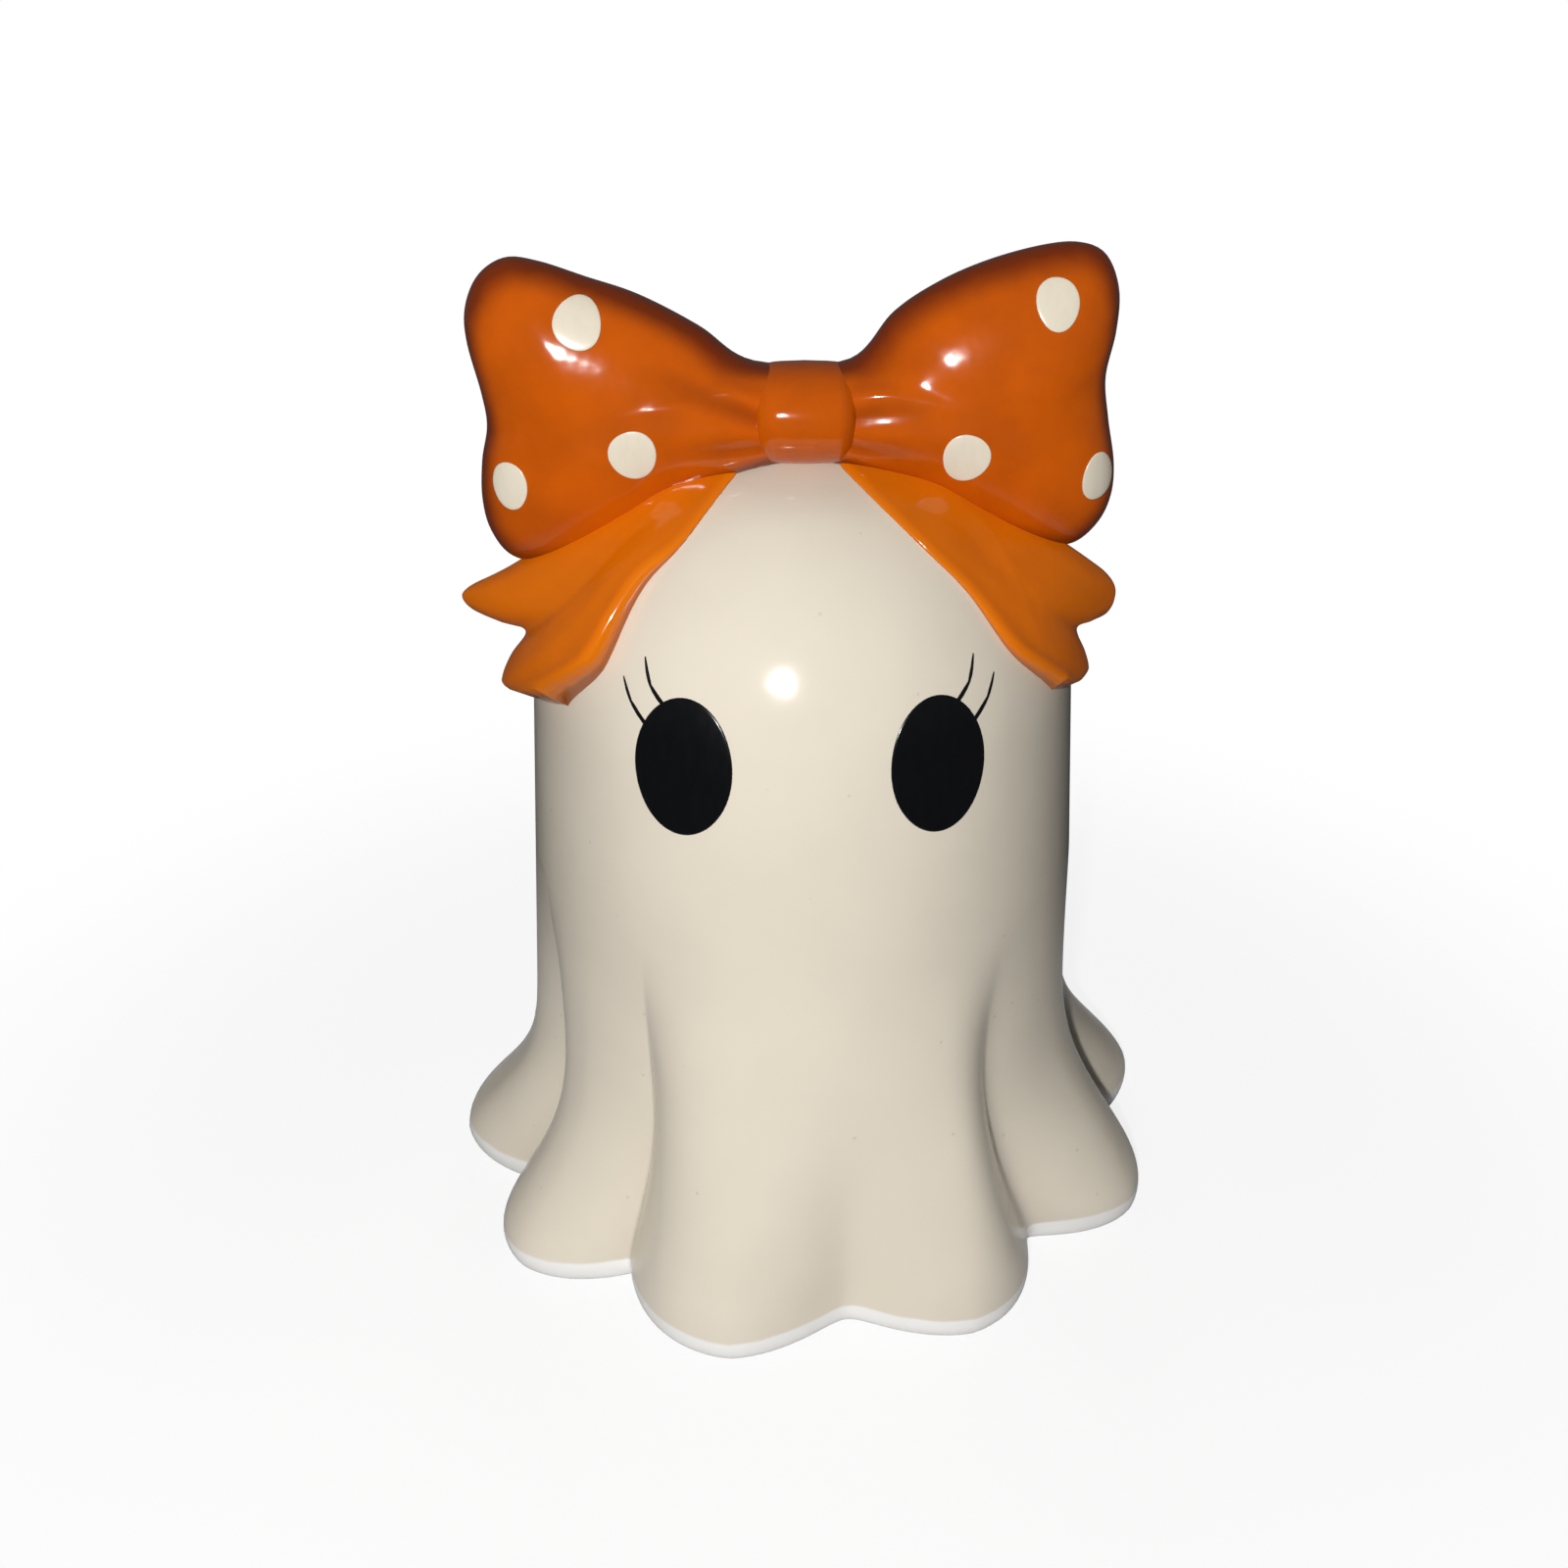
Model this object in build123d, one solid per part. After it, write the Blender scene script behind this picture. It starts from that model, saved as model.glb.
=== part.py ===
from build123d import *
import os
from math import cos, floor, radians, sin, sqrt, tan

# A glazed ceramic sheet ghost with a polka-dot bow on its head.
# Millimetres, +Z up. The origin is on the table under the middle of the ghost, whose face looks towards -Y.
# Bearings are degrees round the body from the face, positive towards +X, which is the ghost's left.

# Cast body
BODY_HEIGHT = 195.0  # table to the crown of the head
HEAD_RADIUS = 66.0  # round top of the head
BODY_TAPER = 4.9  # degrees that the straight sides lean in
WALL = 4.5  # cast wall of the head and sides
HEM_WALL = 6.5  # cast wall at the hem, measured towards the axis

# Folds of the hem
FOLD_COUNT = 10
FOLD_BEARING = 23.2  # bearing of the first fold's crest
FOLD_TOP = 94.0  # height where the creases fade out
CREASE_DEPTH = 16.0  # crest to crease at the hem
FACE_CREASE_TOP = 66.0  # the same two sizes for the soft crease under the face
FACE_CREASE_DEPTH = 12.4
HEM_RADIUS = 97.9  # crests at their widest
FLARE_TOP = 70.0  # height where the crests start to swing out
FLARE_LATENESS = 2.5  # how late the swing comes: 1 is even, more is lower down
LIP_HEIGHT = 5.0  # height of the hem's widest point
LIP_TUCK = 3.4  # how far the rounded lip draws in at the table
HEM_STEPS = 9  # cross-sections between the lip and the fold top
CREST_SHARE = 0.8  # share of each fold's width that its crest takes, with the crease in the rest

# Bow: its centre, then the loops as seen from the front, in millimetres outward and up from that centre
BOW_FORWARD = 20.0  # centre of the bow in front of the body's axis
BOW_RISE = 4.0  # centre of the bow above the crown of the head
LOOP_HALF_DEPTH = 14.0  # mid-plane of a loop to its fullest point, front or back
LOOP_FULLEST = (44.0, 0.0)
LOOP_NECK = 7.0  # half height of the gathered neck inside the knot
LOOP_NECK_REACH = 5.0  # how far the neck runs past the bow's centre, inside the knot
LOOP_LEAN = (-72, -48, -24, 0, 24, 48, 72)  # degrees of roundness at which a loop's sections are drawn
LOOP_OUTLINES = {
    "right": {
        "nape": (10.0, 10.8),
        "shoulder": (20.0, 20.8),
        "brow": (37.0, 29.7),
        "crown": (59.0, 30.4),
        "upper_cheek": (63.4, 23.0),
        "waist": (61.5, 4.0),
        "lower_cheek": (66.6, -14.0),
        "toe": (59.5, -27.5),
        "belly": (44.0, -25.5),
        "throat": (22.0, -15.0),
    },
    "left": {
        "nape": (12.0, 10.6),
        "shoulder": (26.0, 19.2),
        "brow": (44.0, 26.8),
        "crown": (60.0, 29.9),
        "upper_cheek": (67.5, 22.5),
        "waist": (66.2, -1.0),
        "lower_cheek": (69.2, -17.0),
        "toe": (64.5, -31.0),
        "belly": (46.0, -29.0),
        "throat": (24.0, -16.0),
    },
}
KNOT_WIDTH = 21.0
KNOT_HEIGHT = 20.5
KNOT_DEPTH = 28.0
KNOT_EDGE = 4.0  # round of the knot's two side edges

# Tails: bearing and slope on the head in degrees, slope 0 at the crown, then the lift off its surface
TAIL_STATIONS = (
    # inner edge, outer edge, thickness
    ((14.5, 24.0, 2.3), (29.0, 14.0, 8.0), 9.0),
    ((32.7, 45.0, 4.0), (61.0, 41.0, 4.0), 10.0),
    ((43.0, 66.8, 5.0), (70.8, 58.3, 11.0), 11.0),
)
TAIL_TIPS = {
    # lower tip, upper tip
    "right": ((74.0, 83.0, 4.5), (77.0, 69.5, 14.0)),
    "left": ((73.0, 84.5, 9.0), (79.0, 70.0, 20.0)),
}
TAIL_TIP_THICKNESS = 7.0
TAIL_NOTCH = 24.0  # depth of the swallowtail cut
TAIL_TIP_WIDTH = 4.4  # blunt end of each tip
TAIL_ROUND = 2.1  # round of the tips' corners and of the notch
TAIL_SPREAD = 20.0  # degrees that the sides of the two tips open from the ribbon's line

# Fired-on decoration
PAINT = 0.35  # thickness of the enamel
PAINT_BED = 0.05  # film of clear glaze under the enamel
EYE_BEARING = 24.0
EYE_RISE = 6.3  # middle of the eyes above the centre of the round head
EYE_WIDTH = 22.5
EYE_TALL = 29.3
EYE_LEAN = 2.0  # degrees that the tops of the eyes lean towards each other
LASH_ROOT = 1.0  # width of a lash at the eye
LASH_TIP = 0.4
LASHES = {
    # root, bend and tip: millimetres outward and up from the middle of the eye
    "inner": ((4.2, 12.6), (8.8, 15.9), (11.0, 20.4)),
    "outer": ((8.0, 7.6), (12.0, 10.2), (16.2, 15.6)),
}
DOT_RADIUS = 5.2
# Dots: millimetres outward and up from the bow's centre, then degrees that the dot faces outward
DOTS = {
    "right": {"upper": (47.5, 22.0, 10.0), "middle": (34.0, -7.0, 0.0), "edge": (56.5, -11.5, 35.0)},
    "left": {"upper": (44.5, 18.5, 0.0), "middle": (35.5, -6.5, 0.0), "edge": (57.5, -13.0, 35.0)},
}

SIDES = {"right": 1, "left": -1}  # sides as the viewer sees them
FACES = {"front": -1, "back": 1}
DOME_HEIGHT = BODY_HEIGHT - HEAD_RADIUS  # centre of the round head
BOW_HEIGHT = BODY_HEIGHT + BOW_RISE
FOLD_PITCH = 360.0 / FOLD_COUNT
REACH = 2 * HEAD_RADIUS  # longer than any piece that a cutter goes through


def smooth(share):
    """Ease from 0 to 1 with level ends."""
    share = min(max(share, 0.0), 1.0)
    return share * share * (3 - 2 * share)


def around(radius, bearing, height):
    """Point at a bearing round the body's axis."""
    return Vector(radius * sin(radians(bearing)), -radius * cos(radians(bearing)), height)


def on_head(bearing, slope, lift):
    """Point above the round head at a bearing, a slope down from the crown and a lift off the surface."""
    radius = HEAD_RADIUS + lift
    return around(radius * sin(radians(slope)), bearing, DOME_HEIGHT + radius * cos(radians(slope)))


def shoulder(offset):
    """Radius and height where the straight sides meet the round head."""
    radius = HEAD_RADIUS + offset
    return radius * cos(radians(BODY_TAPER)), DOME_HEIGHT + radius * sin(radians(BODY_TAPER))


def side_radius(height, offset):
    """Radius of the straight sides at a height, before any fold."""
    radius, top = shoulder(offset)
    return radius + (top - height) * tan(radians(BODY_TAPER))


def head(offset, foot):
    """Round head and straight sides down to a height, grown by an offset."""
    radius = HEAD_RADIUS + offset
    middle = radians(90 + BODY_TAPER) / 2
    edge_radius, edge_height = shoulder(offset)
    crown = (0, 0, DOME_HEIGHT + radius)
    foot_edge = (side_radius(foot, offset), 0, foot)
    edge = (edge_radius, 0, edge_height)
    bulge = (radius * cos(middle), 0, DOME_HEIGHT + radius * sin(middle))
    outline = Polyline((0, 0, foot), foot_edge, edge) + ThreePointArc(edge, bulge, crown)
    outline += Line(crown, (0, 0, foot))
    return revolve(make_face(outline), Axis.Z)


def crest_radius(height):
    """Radius of the fold crests at a height."""
    side = side_radius(height, 0)
    share = min(max((FLARE_TOP - height) / (FLARE_TOP - LIP_HEIGHT), 0.0), 1.0)
    tucked = min(max((LIP_HEIGHT - height) / LIP_HEIGHT, 0.0), 1.0)
    tuck = LIP_TUCK * (1 - sqrt(1 - tucked * tucked))
    return side + (HEM_RADIUS - side) * smooth(share**FLARE_LATENESS) - tuck


def crease_dip(height, crease):
    """How far a crease, counted round from the first fold, lies inside the crests at a height."""
    faces_front = crease == round(-FOLD_BEARING / FOLD_PITCH - 0.5) % FOLD_COUNT
    top = FACE_CREASE_TOP if faces_front else FOLD_TOP
    depth = FACE_CREASE_DEPTH if faces_front else CREASE_DEPTH
    return depth * smooth((top - height) / (top - LIP_HEIGHT))


def hem_section(height, inset_share):
    """Cross-section of the folded hem, drawn in by a share of the wall's thickness."""
    growth = smooth((FOLD_TOP - height) / (FOLD_TOP - LIP_HEIGHT))
    wall = WALL / cos(radians(BODY_TAPER)) * (1 - growth) + HEM_WALL * growth
    crest = crest_radius(height) - inset_share * wall

    def point(turns, dip_share):
        """Point a number of folds round from the first crest, at a share of the next crease's dip."""
        dip = dip_share * crease_dip(height, floor(turns) % FOLD_COUNT)
        return around(crest - dip, FOLD_BEARING + turns * FOLD_PITCH, height)

    # A crest arc and a crease arc run smoothly on where the dip's share is the crest's share of the width.
    half = CREST_SHARE / 2
    arcs = []
    for fold in range(FOLD_COUNT):
        crest_end = point(fold + half, CREST_SHARE)
        crease_end = point(fold + 1 - half, CREST_SHARE)
        arcs.append(ThreePointArc(point(fold - half, CREST_SHARE), point(fold, 0), crest_end))
        arcs.append(ThreePointArc(crest_end, point(fold + 0.5, 1), crease_end))
    return make_face(arcs)


def hem(inset_share, foot):
    """Folded lower body, from a foot height at or below the table up to the fold top."""
    step = (FOLD_TOP - LIP_HEIGHT) / HEM_STEPS
    heights = [foot, LIP_HEIGHT / 2] + [LIP_HEIGHT + step * i for i in range(HEM_STEPS + 1)]
    return loft([hem_section(height, inset_share) for height in heights])


def ghost_shell():
    """Drain-cast body, open underneath."""
    hollow = head(-WALL, FOLD_TOP) + hem(1, -LIP_HEIGHT)
    return head(0, FOLD_TOP) + hem(0, 0) - hollow


def knot(seat):
    """Band round the gathered middle of the bow, seated on the head."""
    band = extrude(Plane.YZ * Ellipse(KNOT_DEPTH / 2, KNOT_HEIGHT / 2), amount=KNOT_WIDTH / 2, both=True)
    band = fillet(band.edges().filter_by(GeomType.ELLIPSE), KNOT_EDGE)
    return Pos(0, -BOW_FORWARD, BOW_HEIGHT) * band - seat


def puff(side, growth):
    """One loop as a full pillow from the middle of the bow outward, grown by a coat's thickness."""
    middle = Vector(LOOP_FULLEST[0], 0, LOOP_FULLEST[1])
    neck = [(-LOOP_NECK_REACH, LOOP_NECK), (-LOOP_NECK_REACH, -LOOP_NECK)]
    corners = [neck[0], *LOOP_OUTLINES[side].values(), neck[1]]
    spread = 1 + growth / LOOP_FULLEST[0]
    sections = []
    for lean in LOOP_LEAN:
        share = spread * cos(radians(lean))
        forward = (LOOP_HALF_DEPTH + growth) * sin(radians(lean))
        points = []
        for x, z in corners:
            point = middle + (Vector(x, 0, z) - middle) * share
            points.append((SIDES[side] * point.X, forward - BOW_FORWARD, BOW_HEIGHT + point.Z))
        sections.append(make_face(Spline(points, periodic=True)))
    return loft(sections)


def tail(side):
    """One ribbon tail as a tapered slab with a swallowtail end, before it is seated."""
    turn = SIDES[side]
    stations = [*TAIL_STATIONS, (*TAIL_TIPS[side], TAIL_TIP_THICKNESS)]
    edges = []
    for inner, outer, _ in stations:
        edges.append([on_head(turn * bearing, slope, lift) for bearing, slope, lift in (inner, outer)])
    sections = []
    for (inner, outer), (_, _, thickness) in zip(edges, stations):
        inward = (Vector(0, 0, DOME_HEIGHT) - (inner + outer) / 2).normalized() * thickness
        sections.append(make_face(Polyline(inner, outer, outer + inward, inner + inward, close=True)))
    slab = loft(sections)
    lower, upper = edges[-1]
    end = (lower + upper) / 2
    along = end - (edges[-2][0] + edges[-2][1]) / 2
    facing = end - Vector(0, 0, DOME_HEIGHT)
    half_width = (upper - lower).length / 2
    spread = half_width + REACH * tan(radians(TAIL_SPREAD))
    mouth = half_width - TAIL_TIP_WIDTH
    lower_side = [(-REACH, -spread), (0, -half_width), (0, -mouth)]
    upper_side = [(x, -y) for x, y in reversed(lower_side)]
    outline = make_face(Polyline(*lower_side, (-TAIL_NOTCH, 0), *upper_side, close=True))
    corners = outline.vertices().filter_by(lambda corner: corner.X > -REACH)
    ribbon = Plane(end, x_dir=along, z_dir=facing) * fillet(corners, TAIL_ROUND)
    return slab & extrude(ribbon, amount=REACH, both=True)


def largest(shape):
    """Main solid of a cut, without crumbs."""
    return max(shape.solids(), key=lambda solid: solid.volume)


def eye_plane(side):
    """Plane that faces the ghost's eye, with x outward from the face and y up."""
    bearing = SIDES[side] * EYE_BEARING
    outward = around(1, bearing, 0)
    middle = around(0, bearing, DOME_HEIGHT + EYE_RISE)
    return Plane(middle, x_dir=Vector(0, 0, 1).cross(outward), z_dir=outward)


def enamel(side, sketch):
    """Skin of enamel on the face, with the outline of a sketch in the eye's plane."""
    stamp = extrude(eye_plane(side) * sketch, amount=REACH)
    return (stamp & head(PAINT_BED + PAINT, FOLD_TOP)) - head(PAINT_BED, FOLD_TOP - WALL)


def eye(side):
    """Black oval eye."""
    oval = Rot(0, 0, SIDES[side] * EYE_LEAN) * Ellipse(EYE_WIDTH / 2, EYE_TALL / 2)
    return enamel(side, oval)


def lash(side, place, eye_solid):
    """One tapered lash stroke, which starts at the edge of the eye."""
    points = [Vector(SIDES[side] * x, y) for x, y in LASHES[place]]
    across = Vector(0, 0, 1).cross(points[-1] - points[0]).normalized()
    widths = (LASH_ROOT, (LASH_ROOT + LASH_TIP) / 2, LASH_TIP)
    halves = [across * width / 2 for width in widths]
    upper = ThreePointArc(*(point + half for point, half in zip(points, halves)))
    lower = ThreePointArc(*(point - half for point, half in zip(points, halves)))
    stroke = make_face([upper, Line(upper @ 1, lower @ 1), lower, Line(lower @ 0, upper @ 0)])
    return enamel(side, stroke) - eye_solid


def dot(side, face, place, skin):
    """One polka dot, out of the skin of enamel round a loop."""
    x, z, yaw = DOTS[side][place]
    facing = Vector(SIDES[side] * sin(radians(yaw)), FACES[face] * cos(radians(yaw)), 0)
    middle = Vector(SIDES[side] * x, -BOW_FORWARD, BOW_HEIGHT + z) - facing * DOT_RADIUS * sin(radians(yaw))
    stamp = extrude(Plane(middle, z_dir=facing) * Circle(DOT_RADIUS), amount=REACH)
    return stamp & skin


def build():
    """Every piece by its node's name."""
    seat = head(0, FOLD_TOP)
    pieces = {"ghost_shell": ghost_shell(), "bow_knot": knot(seat)}
    for side in SIDES:
        loop = puff(side, 0)
        skin = puff(side, PAINT_BED + PAINT) - puff(side, PAINT_BED)
        pieces[f"bow_loop_{side}"] = largest(loop - seat - pieces["bow_knot"])
        pieces[f"bow_tail_{side}"] = largest(tail(side) - seat - pieces["bow_knot"] - loop)
        pieces[f"eye_{side}"] = eye(side)
        for place in LASHES:
            pieces[f"lash_{side}_{place}"] = lash(side, place, pieces[f"eye_{side}"])
        for face in FACES:
            for place in DOTS[side]:
                pieces[f"dot_{side}_{face}_{place}"] = dot(side, face, place, skin)
    return pieces


os.makedirs("parts", exist_ok=True)
for name, piece in build().items():
    export_step(piece.solid(), f"parts/{name}.step")
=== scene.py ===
from bisect import bisect
from math import asin, atan2, cos, degrees, exp, floor, hypot, pi, radians, sin, sqrt, tan

import bmesh
import bpy
from bpy.props import FloatProperty, FloatVectorProperty, PointerProperty
from mathutils import Matrix, Vector
from mathutils.bvhtree import BVHTree
from mathutils.kdtree import KDTree


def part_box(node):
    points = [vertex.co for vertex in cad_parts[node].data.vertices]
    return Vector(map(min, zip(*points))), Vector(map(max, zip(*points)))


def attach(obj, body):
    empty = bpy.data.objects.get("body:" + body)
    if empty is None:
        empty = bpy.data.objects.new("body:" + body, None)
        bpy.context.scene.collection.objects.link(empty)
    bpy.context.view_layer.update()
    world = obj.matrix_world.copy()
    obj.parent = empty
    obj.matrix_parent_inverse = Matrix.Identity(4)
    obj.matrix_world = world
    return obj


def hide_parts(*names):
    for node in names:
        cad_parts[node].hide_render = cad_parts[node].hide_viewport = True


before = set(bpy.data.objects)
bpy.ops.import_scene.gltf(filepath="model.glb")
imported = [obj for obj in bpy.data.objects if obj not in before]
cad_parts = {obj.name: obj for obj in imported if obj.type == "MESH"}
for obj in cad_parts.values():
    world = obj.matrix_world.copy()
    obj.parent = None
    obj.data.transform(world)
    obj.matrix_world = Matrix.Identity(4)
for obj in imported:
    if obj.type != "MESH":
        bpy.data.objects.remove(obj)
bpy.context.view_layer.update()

# A glazed ceramic sheet ghost with a polka-dot bow, its face towards -Y, standing at the origin.
# Bearings go round the body from the face, positive towards +X. Sides are named as the viewer sees them.

bl_info = {
    "name": "Ceramic Bow Ghost",
    "version": (1, 0, 0),
    "blender": (4, 5, 0),
    "location": "View3D > Sidebar > Ghost",
    "description": "Builds a glazed ceramic ghost figure with a polka-dot bow",
    "category": "Add Mesh",
}

MM = 0.001
BODY = "root"
SIDES = {"right": 1, "left": -1}
FACES = {"front": -1, "back": 1}
SEAT_GAP = 0.05 * MM  # between the head and what is stuck on it
CURVE_STEPS = 24  # pieces of a smooth curve between two of its points

# Folds of the hem, counted round from the first crest
FOLD_COUNT = 10
FOLD_PITCH = 360 / FOLD_COUNT
FOLD_BEARING = 23.8
CREASE_ROUND = 0.15  # rounding at the bottom of a rounded crease, as a share of the way to its crests
CREST_ROUND = 1.4  # how rounded the crests beside a soft crease are
CREST_LATENESS = (1.3, 1.8, 2.5, 2.4, 2.6, 2.4, 3.4, 3.2, 2.5, 1.3)  # how low each crest swings out
CREST_TURN = (0, 0, 0, 0, 0, 0, -5.0, 3.5, 0, 0)  # degrees that each crest strays from even spacing
CREST_REACH = (0, 1.4, 0, 0, 0, 0, 0, -2.0, 0, 0)  # millimetres that it comes out further than the rest
FACE_CRESTS = (9, 0)  # the two broad ones under the face
CREASE_TURN = (1.5, 0, 0, 1.0, -1.0, 0, 0, 0, -2.6, 0)  # degrees that each crease strays from midway at the hem
CREASE_SWAY = (-6.5, 0, 0, 0, 0, 0, 0, 0, 0, 0)  # degrees that it bows out of line half way up
FACE_CREASE = 9  # the soft one under the face
FACE_CREASE_LATENESS = 1.2  # how low it deepens
BACK_CREASE = 4  # the soft one behind
NEAR_EDGE = (2.2, 3.6)  # how squarely the fold nearer to the face ends at a crease, at the hem and well above
NEAR_EDGE_HEIGHT = 45 * MM  # how far up that is
OPEN_CREASE = 0  # the wide rounded one to the right of the face
OPEN_EDGE = 2.3  # how squarely the fold nearer to the face ends at it, at every height
FAR_RUN = 1.6  # how straight the fold behind runs into a crease

# Loops seen from the front: millimetres outward and up from the middle of the bow
LOOP_MIDDLE = (44.0, 0.0)
LOOP_NECK = ((-5.0, 7.0), (-5.0, -7.0))
LOOP_OUTLINES = {
    "right": (
        (10.0, 10.9), (18.0, 19.6), (26.8, 25.2), (36.5, 29.2), (47.0, 31.9), (54.6, 32.5), (60.0, 30.4),
        (63.2, 24.2), (63.5, 16.5), (62.3, 7.5), (63.8, -1.0), (66.0, -10.0), (66.2, -17.0), (64.0, -23.0),
        (59.0, -27.6), (52.0, -27.8), (44.0, -25.5), (33.0, -20.6), (22.0, -15.0),
    ),
    "left": (
        (12.0, 10.7), (21.4, 17.0), (33.4, 23.0), (44.0, 26.4), (53.0, 29.2), (59.5, 29.9), (65.0, 26.8),
        (68.2, 21.0), (68.6, 14.5), (66.8, 4.5), (66.4, -2.0), (68.2, -9.0), (69.1, -17.0), (68.0, -24.0),
        (64.0, -29.6), (56.0, -31.2), (46.0, -29.0), (34.0, -22.8), (24.0, -16.0),
    ),
}
# Gathers that run out of the knot: start, end, depth and half width in the same millimetres
GATHERS = {
    "right": (
        ((9, 1), (34, 4), 0.9, 2.4), ((9, -5), (30, -7.5), 0.8, 2.2), ((9, -10), (40, -25), 1.6, 2.8),
        ((9, 6), (32, 16), 0.6, 2.4),
    ),
    "left": (
        ((9, 0), (40, 13.5), 1.1, 2.4), ((9, -5), (34, -6.5), 0.8, 2.2), ((9, -10), (42, -26), 1.6, 2.8),
        ((9, 6), (30, 15), 0.6, 2.4),
    ),
}

# Tails: bearing and slope on the head in degrees, slope 0 at the crown, and lift in millimetres. The ends run
# from the lower edge round the lower tip, the notch and the upper tip to the upper edge. The foot is where the
# lower corner of the end comes down to the head.
TAILS = {
    "right": {
        "lower": ((15.7, 24.4, 0.5), (30.1, 44.6, 0.6), (37.5, 54.5, 0.9), (44.8, 67.6, 1.8), (57.0, 76.6, 4.5)),
        "upper": ((30.0, 14.0, 2.0), (48.0, 30.0, 2.5), (61.0, 43.0, 3.5), (69.6, 56.8, 9.3), (74.1, 62.9, 12.1)),
        "end": (
            (57.0, 76.6, 4.5), (64.3, 79.6, 4.0), (68.8, 79.0, 4.6), (68.4, 74.7, 4.6), (66.1, 70.0, 5.0),
            (70.4, 70.4, 7.4), (74.6, 70.6, 10.6), (75.8, 68.1, 12.9), (75.5, 65.5, 13.0), (74.1, 62.9, 12.1),
        ),
        "foot": (57.9, 79.1, 0.0),
    },
    "left": {
        "lower": (
            (27.3, 21.5, 0.5), (33.0, 42.6, 0.7), (39.4, 53.5, 2.5), (42.9, 66.8, 4.5), (46.6, 71.5, 5.5),
            (56.5, 77.6, 6.5),
        ),
        "upper": ((30.0, 14.0, 2.0), (48.0, 30.0, 2.5), (61.0, 43.0, 3.5), (72.1, 59.0, 9.8), (75.9, 65.2, 15.2)),
        "end": (
            (56.5, 77.6, 6.5), (66.5, 81.3, 6.4), (70.8, 81.1, 7.8), (70.0, 75.6, 6.8), (67.1, 70.1, 6.0),
            (72.0, 70.7, 10.4), (76.6, 70.9, 16.1), (77.6, 69.7, 18.6), (77.4, 67.9, 18.0), (75.9, 65.2, 15.2),
        ),
        "foot": (53.7, 80.1, 0.0),
    },
}
TAIL_THICKNESS = (9.0, 10.0, 11.0, 7.0)  # from the knot to the tips

# Lashes: points from root to tip, in millimetres outward and up from the middle of the eye
LASHES = {
    "inner": ((3.6, 11.6), (7.0, 14.4), (9.1, 17.2), (10.4, 20.9)),
    "outer": ((7.8, 7.2), (11.5, 10.4), (13.8, 13.3), (15.3, 16.3)),
}
# Dots: millimetres outward and up from the middle of the bow, degrees that the dot faces outward, and how wide
# it is for its height
DOTS = {
    "right": {
        "upper": (47.5, 22.0, 10.0, 0.86), "middle": (32.8, -7.0, 0.0, 1.0), "edge": (55.0, -11.5, 35.0, 0.9),
    },
    "left": {
        "upper": (44.8, 18.7, 0.0, 0.96), "middle": (35.3, -6.0, 0.0, 1.0), "edge": (55.5, -12.5, 30.0, 0.85),
    },
}

# Second colours of the glazes and enamels, which show only in small marks
PINHOLE_BROWN = "#a8977e"
WORN_DOT = "#dccfb6"
WORN_BLACK = "#101115"
GLAZE_IOR = 1.5
ENAMEL_FLATNESS = 0.4  # 1 is a round cushion of enamel and 0 a flat disc


def linear(code):
    """Linear colour of an sRGB hex code."""
    parts = [int(code[i : i + 2], 16) / 255 for i in (1, 3, 5)]
    return tuple(c / 12.92 if c <= 0.04045 else ((c + 0.055) / 1.055) ** 2.4 for c in parts)


def length(name, description, millimetres):
    """Property for a size, in millimetres here and metres in the scene."""
    return FloatProperty(name=name, description=description, default=millimetres * MM, unit="LENGTH", precision=4)


def angle(name, description, value):
    """Property for an angle, in degrees here and radians in the scene."""
    return FloatProperty(name=name, description=description, default=radians(value), subtype="ANGLE")


def colour(name, description, code):
    """Property for a colour."""
    return FloatVectorProperty(
        name=name, description=description, default=linear(code), subtype="COLOR", size=3, min=0, max=1
    )


def power(name, description, watts):
    """Property for the power of a lamp."""
    return FloatProperty(name=name, description=description, default=watts, unit="POWER")


class GhostBodySizes(bpy.types.PropertyGroup):
    """Sizes of the cast body."""

    height: length("Height", "Table to the crown of the head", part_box("ghost_shell")[1].z / MM)
    head_radius: length("Head Radius", "Radius of the round head", 65.5)
    taper: angle("Taper", "How far the straight sides lean in", 4.9)
    wall: length("Wall", "Cast wall of the head and sides", 4.5)
    hem_wall: length("Hem Wall", "Cast wall at the hem", 6.5)
    fold_top: length("Fold Top", "Height where the creases fade out", 94)
    crease_depth: length("Crease Depth", "Crest to crease at the hem", 16)
    face_crease_top: length("Face Crease Top", "Height of the soft crease under the face", 66)
    face_crease_depth: length("Face Crease Depth", "Depth of the soft crease under the face", 12.4)
    hem_radius: length("Hem Radius", "Crests at their widest", 97.8)
    flare_top: length("Flare Top", "Height where the crests start to swing out", 70)
    face_flare_top: length("Face Flare Top", "The same for the two crests under the face", 94)
    lip_height: length("Lip Height", "Height of the widest point of the hem", 5)
    lip_tuck: length("Lip Tuck", "How far the rounded lip draws in at the table", 2.9)


class GhostBowSizes(bpy.types.PropertyGroup):
    """Sizes of the bow."""

    forward: length("Forward", "Middle of the bow in front of the axis of the body", 20)
    rise: length("Rise", "Middle of the bow above the crown of the head", 4)
    loop_depth: length("Loop Depth", "Middle plane of a loop to its fullest point", 13.2)
    knot_width: length("Knot Width", "Width of the band round the middle", 21)
    knot_height: length("Knot Height", "Height of the band", 20.5)
    knot_depth: length("Knot Depth", "Front to back of the band", 28)
    tail_edge: length("Tail Edge", "Rounding along the edges of the tails", 2.2)


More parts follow.
